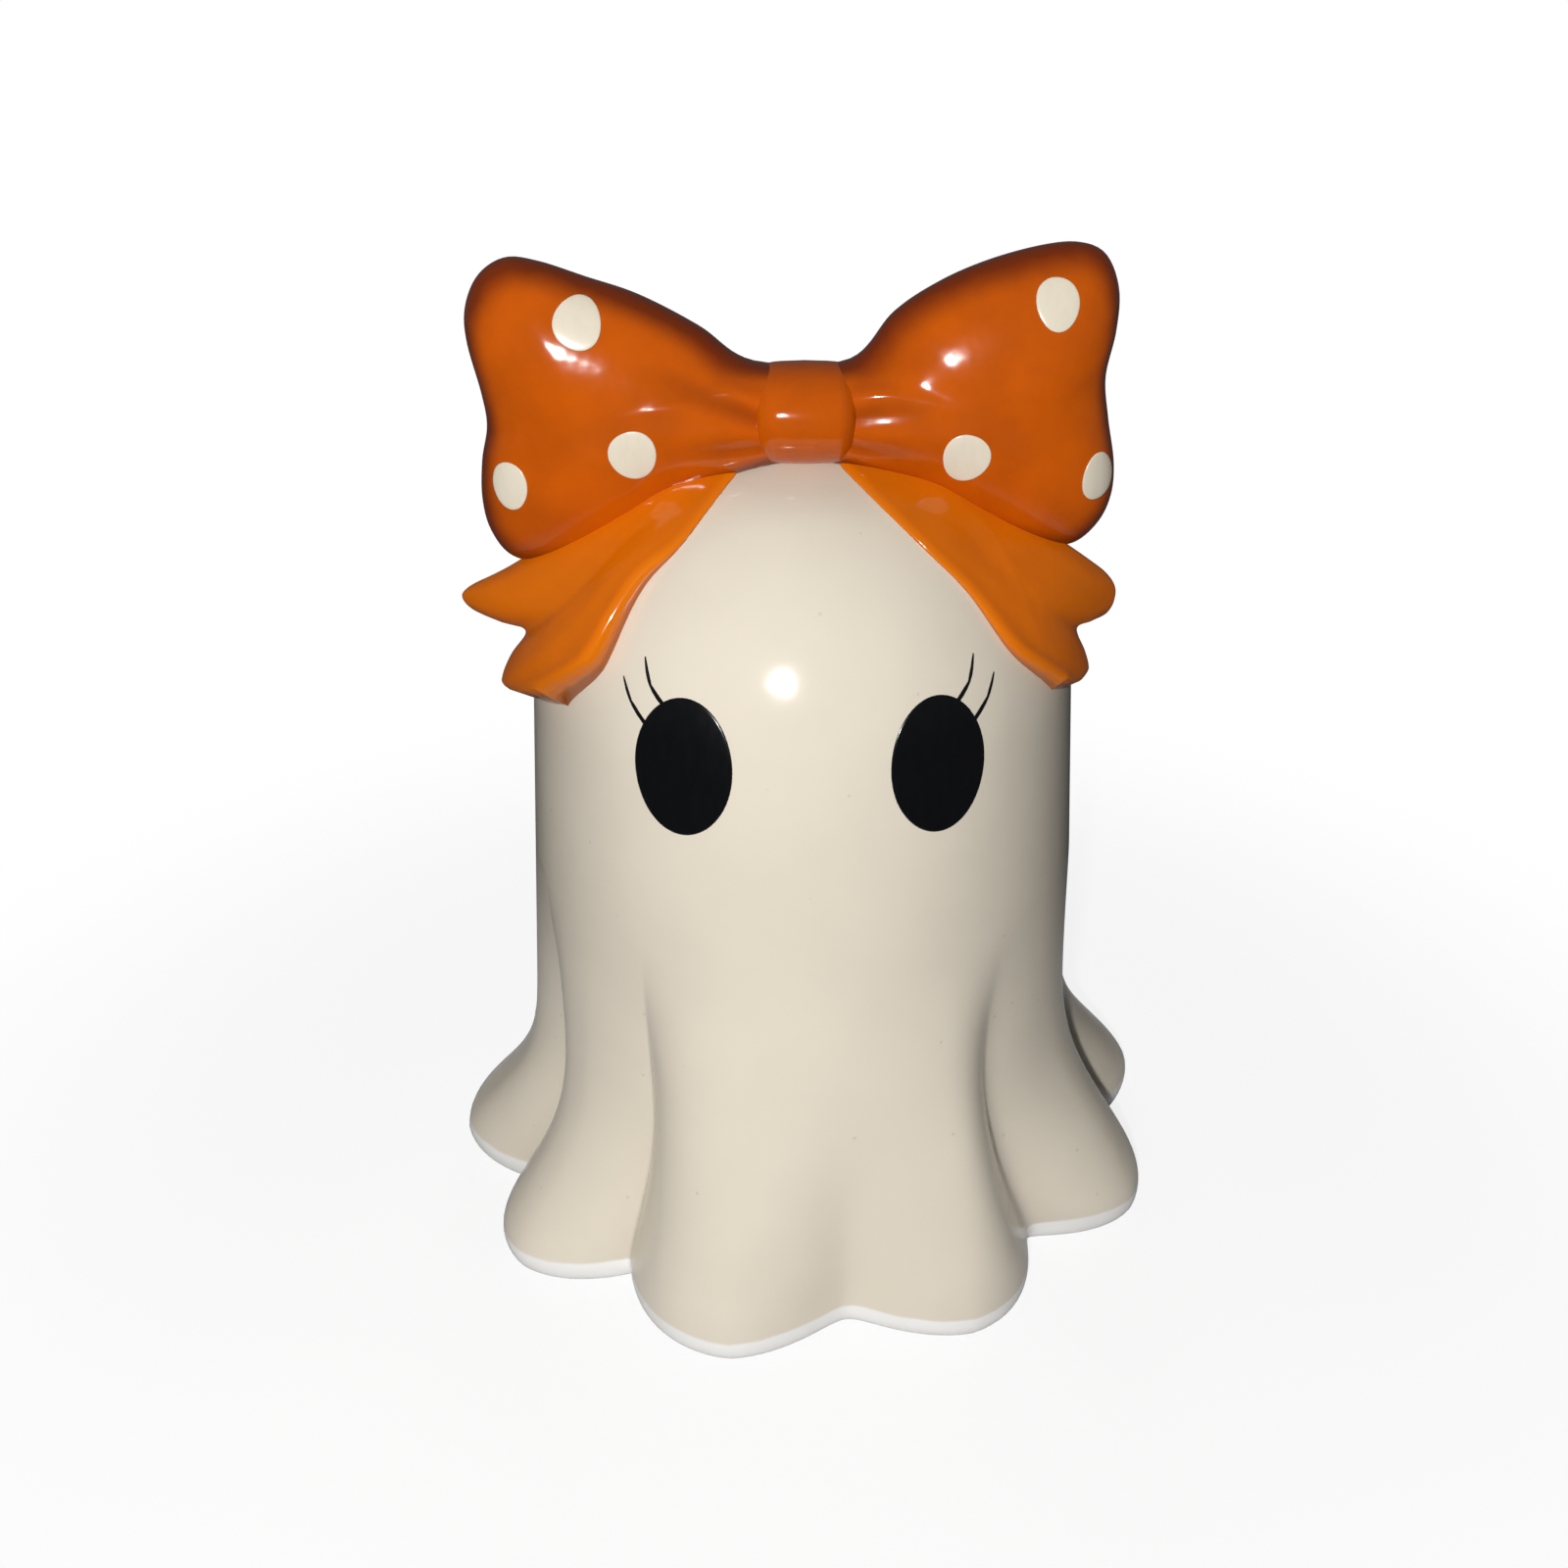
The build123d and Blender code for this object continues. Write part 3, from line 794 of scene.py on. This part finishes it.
class GHOST_OT_drape_tails(GhostStep, bpy.types.Operator):
    """Drape the two ribbon tails over the head"""

    bl_idname = "ghost.drape_tails"
    bl_label = "Drape Tails"

    LONG_STEPS = 96
    WIDE_STEPS = 84
    EDGE_STEPS = 400
    END_LATENESS = 2.5  # how near to the end the two tips part
    NOTCH_PLACE = -0.11  # where the notch is across the ribbon, from -1 at the lower edge to 1 at the upper
    FOOT_LATENESS = 4.5  # how near to the lower corner the foot is
    CUSHION = 1.1  # millimetres that the ribbon is fuller than its rim
    VALLEY = 0.9  # millimetres that the ribbon dips between its tips
    VALLEY_WIDTH = 0.2
    THIN = (0.5, 0.8)  # how much of the thin colour shows on the ribbon and along its rim
    ROOT_SHADE = 0.5  # how much painted shade shows under the knot
    VALLEY_SHADE = 0.3  # how much painted shade shows between the tips

    def execute(self, context):
        settings = context.scene.ghost
        middle, radius = head_middle(settings), settings.body.head_radius
        edge = settings.bow.tail_edge / MM
        for side, turn in SIDES.items():
            lines = {name: curve_through(TAILS[side][name], CURVE_STEPS, False) for name in ("lower", "upper", "end")}
            foot = Vector(TAILS[side]["foot"]) - lines["lower"][-1]
            thickness = curve_through([(thick, 0) for thick in TAIL_THICKNESS], CURVE_STEPS, False)

            def place(along, across):
                """Bearing, slope and lift of the ribbon at a place along and across it."""
                share = (across + 1) / 2
                straight = mix(lines["lower"][-1], lines["upper"][-1], share)
                tips = along_line(lines["end"], share)[0] - straight
                lower, upper = (along_line(lines[name], along)[0] for name in ("lower", "upper"))
                return mix(lower, upper, share) + tips * along**self.END_LATENESS

            def point(spot, lift):
                """Point over the head."""
                bearing, slope = turn * radians(spot.x), radians(spot.y)
                out = Vector((sin(slope) * sin(bearing), -sin(slope) * cos(bearing), cos(slope)))
                return middle + out * (radius + lift * MM)

            rim = KDTree(3 * self.EDGE_STEPS)
            for i in range(self.EDGE_STEPS):
                share = (i + 0.5) / self.EDGE_STEPS
                for spot in (place(share, -1), place(share, 1), place(1, 2 * share - 1)):
                    rim.insert(point(spot, spot.z), i)
            rim.balance()
            bm = bmesh.new()
            bmesh.ops.create_grid(bm, x_segments=self.LONG_STEPS, y_segments=self.WIDE_STEPS, size=1)
            raised = bmesh.ops.extrude_face_region(bm, geom=bm.faces[:])["geom"]
            top = [part for part in raised if isinstance(part, bmesh.types.BMVert)]
            bmesh.ops.translate(bm, verts=top, vec=(0, 0, 1))
            pooled = bm.verts.layers.float.new("pooled")
            thin = bm.verts.layers.float.new("thin")
            for vert in bm.verts:
                along, across = (vert.co.x + 1) / 2, vert.co.y
                spot = place(along, across)
                thick = along_line(thickness, along)[0].x
                to_edge = min(rim.find(point(spot, spot.z))[2] / MM, edge)
                rolled = edge * (1 - to_edge / edge) ** 2
                inner = 1 - rolled / edge
                parted = exp(-(((across - self.NOTCH_PLACE) / self.VALLEY_WIDTH) ** 2)) * smooth(along * 3 - 2) * inner
                if vert.co.z < 0.5:
                    spot = spot + foot * (along * (1 - across) / 2) ** self.FOOT_LATENESS
                    lift = max(spot.z - thick, SEAT_GAP / MM) + (rolled * 0.5 if spot.z > thick else 0)
                else:
                    lift = spot.z + self.CUSHION * inner * min(1, spot.z / edge) - self.VALLEY * parted
                vert[thin] = mix(*self.THIN, smooth(1 - to_edge / edge))
                # Painted shade under the knot and in the dip between the tips
                vert[pooled] = self.ROOT_SHADE * smooth(1 - along * 3) + self.VALLEY_SHADE * parted
                vert.co = point(spot, lift)
            make_piece(f"draped_tail_{side}", bm, orange_glaze(settings.finish), "orange_glaze", f"bow_tail_{side}")
        return {"FINISHED"}


def surface_of(name):
    """Search tree over a finished piece."""
    piece = bpy.data.objects.get(name)
    if piece is None:
        raise RuntimeError(f"{name} is painted before it is made")
    return BVHTree.FromObject(piece, bpy.context.evaluated_depsgraph_get())


def paint_patch(surface, plane, outline, thickness, segments, rings):
    """Thin cushion of enamel on a surface, from a unit disc that outline maps to a plane facing it."""
    bm = bmesh.new()
    bmesh.ops.create_uvsphere(bm, u_segments=segments, v_segments=rings, radius=1)
    facing = plane.to_3x3() @ Vector((0, 0, 1))
    for vert in bm.verts:
        raised = max(vert.co.z, 0) ** ENAMEL_FLATNESS
        x, y = outline(vert.co.x, vert.co.y)
        start = plane @ Vector((x, y, 0))
        spot, normal, _, _ = surface.ray_cast(start, -facing)
        if spot is None:
            raise RuntimeError("a patch of enamel misses the piece that it is painted on")
        vert.co = spot + normal * (SEAT_GAP + thickness * raised)
    return bm


class GHOST_OT_paint_dots(GhostStep, bpy.types.Operator):
    """Paint the polka dots on both faces of the loops"""

    bl_idname = "ghost.paint_dots"
    bl_label = "Paint Dots"

    SEGMENTS = 48
    RINGS = 20
    WOBBLE = 0.03  # how far the hand-painted edge strays, as a share of the radius
    AWAY = 0.1  # how far off the loop the plane of a dot stands

    def execute(self, context):
        settings = context.scene.ghost
        middle, radius = bow_middle(settings), settings.paint.dot_radius
        material = fired_enamel("Fired Enamel Cream", settings.finish.dot, linear(WORN_DOT), 0.2)
        for side, turn in SIDES.items():
            surface = surface_of(f"puffed_loop_{side}")
            for face, way in FACES.items():
                for number, (place, (x, z, yaw, wide)) in enumerate(DOTS[side].items()):
                    facing = Vector((turn * sin(radians(yaw)), way * cos(radians(yaw)), 0))
                    centre = middle + Vector((turn * x * MM, 0, z * MM)) - facing * radius * sin(radians(yaw))
                    turned = facing.to_track_quat("Z", "Y").to_matrix().to_4x4()
                    plane = Matrix.Translation(centre + facing * self.AWAY) @ turned

                    def outline(u, v, phase=number + turn + way, wide=wide):
                        """Nearly round edge."""
                        stray = 1 + self.WOBBLE * sin(3 * atan2(v, u) + phase) * hypot(u, v)
                        return u * radius * stray * wide, v * radius * stray

                    bm = paint_patch(surface, plane, outline, settings.paint.thickness, self.SEGMENTS, self.RINGS)
                    name = f"dot_{side}_{face}_{place}"
                    make_piece(f"painted_{name}", bm, material, "white_enamel", name)
        return {"FINISHED"}


class GHOST_OT_paint_face(GhostStep, bpy.types.Operator):
    """Paint the eyes and their lashes"""

    bl_idname = "ghost.paint_face"
    bl_label = "Paint Face"

    EYE_MESH = (72, 24)  # segments and rings
    LASH_MESH = (40, 12)
    LASH_STEPS = 16
    LASH_COAT = 0.6  # thickness of a lash as a share of the eye's

    def execute(self, context):
        settings = context.scene.ghost
        paint = settings.paint
        surface = surface_of("cast_body")
        material = fired_enamel("Fired Enamel Black", settings.finish.black, linear(WORN_BLACK), 0.22)
        for side, turn in SIDES.items():
            bearing = turn * paint.eye_bearing + paint.face_turn
            facing = Vector((sin(bearing), -cos(bearing), 0))
            centre = head_middle(settings) + Vector((0, 0, paint.eye_rise)) + facing * 2 * settings.body.head_radius
            sideways = Vector((0, 0, 1)).cross(facing)
            plane = Matrix.Translation(centre) @ Matrix((sideways, Vector((0, 0, 1)), facing)).transposed().to_4x4()
            lean = turn * paint.eye_lean

            def oval(u, v):
                """Leaning oval of an eye."""
                x, y = u * paint.eye_width / 2, v * paint.eye_height / 2
                return x * cos(lean) - y * sin(lean), x * sin(lean) + y * cos(lean)

            bm = paint_patch(surface, plane, oval, paint.thickness, *self.EYE_MESH)
            make_piece(f"painted_eye_{side}", bm, material, "black_enamel", f"eye_{side}")
            for place, points in LASHES.items():
                line = curve_through([Vector((turn * x * MM, y * MM)) for x, y in points], self.LASH_STEPS, False)

                def stroke(u, v):
                    """Curved stroke that tapers to its tip."""
                    share = (u / max(sqrt(1 - v * v), 1e-6) + 1) / 2 if abs(v) < 1 else 0.5
                    spot, step = along_line(line, share)
                    width = mix(paint.lash_root, paint.lash_tip, share)
                    return spot + Vector((-step.y, step.x)).normalized() * v * width / 2

                bm = paint_patch(surface, plane, stroke, paint.thickness * self.LASH_COAT, *self.LASH_MESH)
                name = f"lash_{side}_{place}"
                make_piece(f"painted_{name}", bm, material, "black_enamel", name)
        return {"FINISHED"}


class GHOST_OT_set_stage(GhostStep, bpy.types.Operator):
    """Set the floor, lamps and camera"""

    bl_idname = "ghost.set_stage"
    bl_label = "Set Stage"

    FLOOR_SIZE = 12.0
    FLOOR_TINT = 0.16  # share of the floor's white that takes light and shadow near the ghost
    SHADOW_REACH = (0.12, 0.34)  # where that share starts to fade and where it is gone
    PAPER = 0.5  # share of light that the paper throws back up at the ghost
    PAPER_REACH = (0.10, 0.22)  # where the paper starts to darken and where it ends
    GLOSS_SHARE = 0.06  # share of the white background that the glaze mirrors
    CLIP_START = 0.01
    SENSOR = 36
    CAMERA = (-0.00764, -0.30197, 0.24926)
    TARGET = (0.0, 0.0, 0.0858)
    LENS = 29.757
    SHIFT = (-0.01175, 0.0367)
    LAMPS = {
        # place, target, size
        "key": ((-0.085, -0.51, 0.35), (0.0, 0.0, 0.12), 0.025),
        "front": ((0.0, -0.55, 0.03), (0.0, 0.0, 0.15), 0.25),
        "top": ((0.0, -0.25, 1.0), (0.0, 0.0, 0.10), 0.80),
        "back": ((0.0, 0.9, 0.20), (0.0, 0.0, 0.12), 0.50),
    }

    def seen_share(self, tree):
        """How much of the white background a ray sees: all of it from the camera, less in the glaze."""
        path = add(tree, "ShaderNodeLightPath", {})
        gloss = add(
            tree,
            "ShaderNodeMath",
            {0: path.outputs["Is Glossy Ray"], 1: self.GLOSS_SHARE, 2: path.outputs["Is Camera Ray"]},
            operation="MULTIPLY_ADD",
        ).outputs[0]
        return add(
            tree, "ShaderNodeMath", {0: gloss, 1: path.outputs["Is Transmission Ray"]}, operation="ADD", use_clamp=True
        ).outputs[0]

    def make_floor(self):
        """Pale floor that takes the shadow of the ghost."""
        bm = bmesh.new()
        bmesh.ops.create_grid(bm, x_segments=1, y_segments=1, size=self.FLOOR_SIZE / 2)
        mesh = bpy.data.meshes.new("floor")
        bm.to_mesh(mesh)
        bm.free()
        floor_object = bpy.data.objects.new("floor", mesh)
        bpy.context.scene.collection.objects.link(floor_object)
        material = new_material("Matt Paper White")
        tree = material.node_tree
        place = add(tree, "ShaderNodeTexCoord", {}).outputs["Object"]
        away = add(tree, "ShaderNodeVectorMath", {0: place}, operation="LENGTH").outputs["Value"]
        shaded, bounced = (
            add(
                tree,
                "ShaderNodeMapRange",
                {"Value": away, "From Min": near, "From Max": far, "To Min": share, "To Max": 0.0},
                interpolation_type="SMOOTHSTEP",
            ).outputs["Result"]
            for (near, far), share in ((self.SHADOW_REACH, self.FLOOR_TINT), (self.PAPER_REACH, self.PAPER))
        )
        seen = self.seen_share(tree)
        thrown = add(tree, "ShaderNodeMix", {"Factor": seen, "A": bounced, "B": shaded}, data_type="FLOAT")
        paper = add(tree, "ShaderNodeBsdfDiffuse", {"Color": thrown.outputs["Result"]})
        even = add(tree, "ShaderNodeMath", {0: 1.0, 1: shaded}, operation="SUBTRACT").outputs[0]
        white = add(tree, "ShaderNodeEmission", {"Color": even, "Strength": seen})
        both = add(tree, "ShaderNodeAddShader", {0: paper.outputs["BSDF"], 1: white.outputs["Emission"]})
        add(tree, "ShaderNodeOutputMaterial", {"Surface": both.outputs["Shader"]})
        mesh.materials.append(material)

    def aim(self, name, data, place, target):
        """Lamp or camera at a place, turned to a target."""
        thing = bpy.data.objects.new(name, data)
        thing.location = place
        thing.rotation_euler = (Vector(target) - Vector(place)).to_track_quat("-Z", "Y").to_euler()
        bpy.context.scene.collection.objects.link(thing)
        return thing

    def make_lamp(self, name, watts):
        """One soft round lamp."""
        place, target, size = self.LAMPS[name]
        light = bpy.data.lights.new(name, "AREA")
        light.shape = "DISK"
        light.size = size
        light.energy = watts
        self.aim(name, light, place, target).visible_glossy = name == "key"

    def make_room(self, strength):
        """Dim even room light, which the camera sees as white."""
        world = bpy.data.worlds.new("Studio")
        bpy.context.scene.world = world
        world.use_nodes = True
        tree = world.node_tree
        tree.nodes.clear()
        dim = add(tree, "ShaderNodeBackground", {"Color": (1, 1, 1, 1), "Strength": strength})
        white = add(tree, "ShaderNodeBackground", {"Color": (1, 1, 1, 1), "Strength": 1.0})
        seen = add(
            tree,
            "ShaderNodeMixShader",
            {0: self.seen_share(tree), 1: dim.outputs["Background"], 2: white.outputs["Background"]},
        )
        add(tree, "ShaderNodeOutputWorld", {"Surface": seen.outputs["Shader"]})

    def make_camera(self):
        """Camera at the photograph's viewing angle."""
        data = bpy.data.cameras.new("camera")
        data.sensor_width = self.SENSOR
        data.lens = self.LENS
        data.shift_x, data.shift_y = self.SHIFT
        data.clip_start = self.CLIP_START
        bpy.context.scene.camera = self.aim("camera", data, self.CAMERA, self.TARGET)

    def execute(self, context):
        stage = context.scene.ghost.stage
        self.make_floor()
        for name in self.LAMPS:
            self.make_lamp(name, getattr(stage, name))
        self.make_room(stage.room)
        self.make_camera()
        context.scene.view_settings.view_transform = "Standard"
        return {"FINISHED"}


OPERATORS = (
    GHOST_OT_cast_body,
    GHOST_OT_puff_loops,
    GHOST_OT_wrap_knot,
    GHOST_OT_drape_tails,
    GHOST_OT_paint_dots,
    GHOST_OT_paint_face,
    GHOST_OT_set_stage,
)


class GHOST_PT_figure(bpy.types.Panel):
    """Steps and settings of the ghost"""

    bl_idname = "GHOST_PT_figure"
    bl_label = "Ceramic Ghost"
    bl_space_type = "VIEW_3D"
    bl_region_type = "UI"
    bl_category = "Ghost"

    def draw(self, context):
        for operator in OPERATORS:
            self.layout.operator(operator.bl_idname)
        settings = context.scene.ghost
        for group in (settings.body, settings.bow, settings.paint, settings.finish, settings.stage):
            box = self.layout.box()
            for name in group.__annotations__:
                box.prop(group, name)


CLASSES = (
    GhostBodySizes,
    GhostBowSizes,
    GhostPaintSizes,
    GhostFinish,
    GhostStage,
    GhostSettings,
    *OPERATORS,
    GHOST_PT_figure,
)


def register():
    for cls in CLASSES:
        bpy.utils.register_class(cls)
    bpy.types.Scene.ghost = PointerProperty(type=GhostSettings)


def unregister():
    del bpy.types.Scene.ghost
    for cls in reversed(CLASSES):
        bpy.utils.unregister_class(cls)


def main():
    register()
    bpy.ops.ghost.cast_body()
    bpy.ops.ghost.puff_loops()
    bpy.ops.ghost.wrap_knot()
    bpy.ops.ghost.drape_tails()
    bpy.ops.ghost.paint_dots()
    bpy.ops.ghost.paint_face()
    bpy.ops.ghost.set_stage()


if __name__ == "__main__":
    main()
